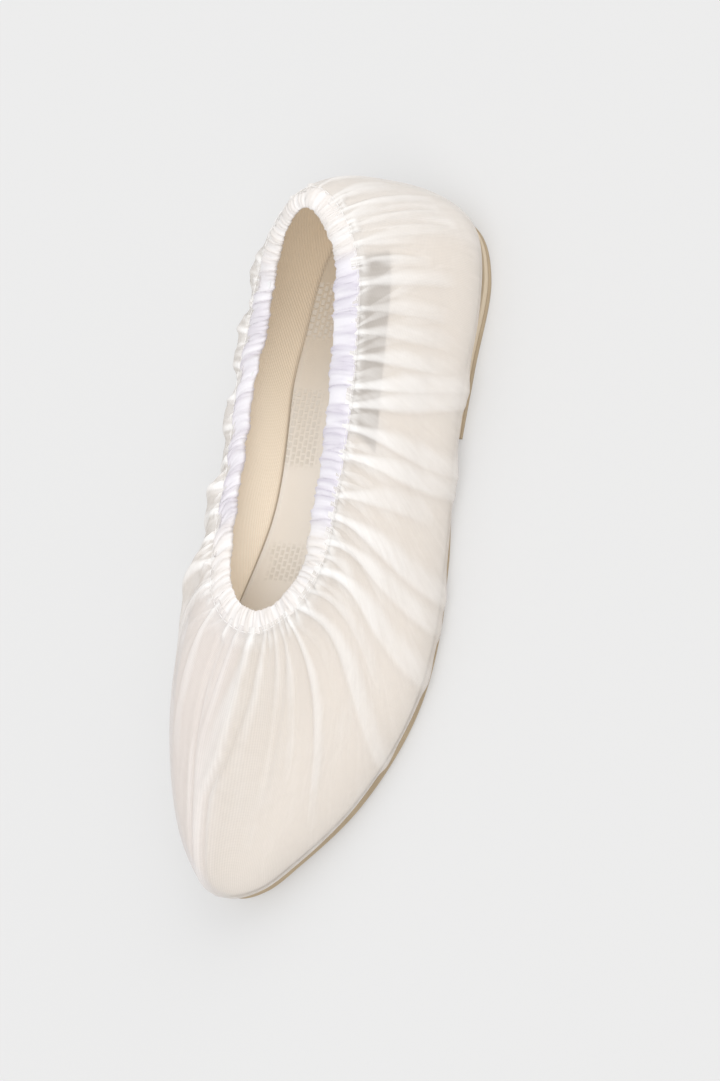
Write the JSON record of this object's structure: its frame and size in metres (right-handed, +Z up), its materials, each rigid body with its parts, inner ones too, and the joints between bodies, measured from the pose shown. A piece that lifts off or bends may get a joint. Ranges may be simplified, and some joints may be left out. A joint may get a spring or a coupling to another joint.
{
  "type": "ballet slipper",
  "caption": "Flat slip-on ballet slipper in gathered sheer white organza over ribbed cloth, with a ruched elastic top edge, beige twill lining and a thin tan sole with a low heel.",
  "frame": {"origin": "centre of the footprint's bounding box, on the ground under the sole", "axes": "+Z up, -Y toward the toe, +Y toward the heel, +X toward the outer side of the foot"},
  "size_m": [0.09, 0.2484, 0.0616],
  "materials": {
    "tan_rubber": "matt tan rubber with a fine moulded tread",
    "leatherboard": "pale pressed leatherboard, edge sanded",
    "felt": "grey felt",
    "spring_steel": "satin",
    "insole_board": "dense fibre board",
    "foam": "open foam",
    "sock_cloth": "smooth cream-grey coated sock",
    "base_cloth": "fine ribbed off-white cloth",
    "organza": "sheer crisp organza with a soft sheen, gathered",
    "stiffener": "resin-stiffened cloth",
    "twill_lining": "beige diagonal twill",
    "casing_organza": "tightly ruched organza, faintly cool",
    "elastic": "woven white elastic",
    "thread": "off-white sewing thread"
  },
  "bodies": {
    "root": {"heel_top_piece": "tan_rubber", "heel_lift": "leatherboard", "outsole": "tan_rubber", "bottom_filler": "felt", "shank": "spring_steel", "insole_board": "insole_board", "heel_cushion": "foam", "insole_foam": "foam", "sock_liner": "sock_cloth", "base_upper": "base_cloth", "sheer_upper": "organza", "heel_counter": "stiffener", "toe_puff": "stiffener", "lining_heel": "twill_lining", "lining_quarter_outer": "twill_lining", "lining_vamp": "twill_lining", "lining_quarter_inner": "twill_lining", "topline_casing": "casing_organza", "elastic_band": "elastic", "casing_stitching": "thread"}
  },
  "joints": []
}
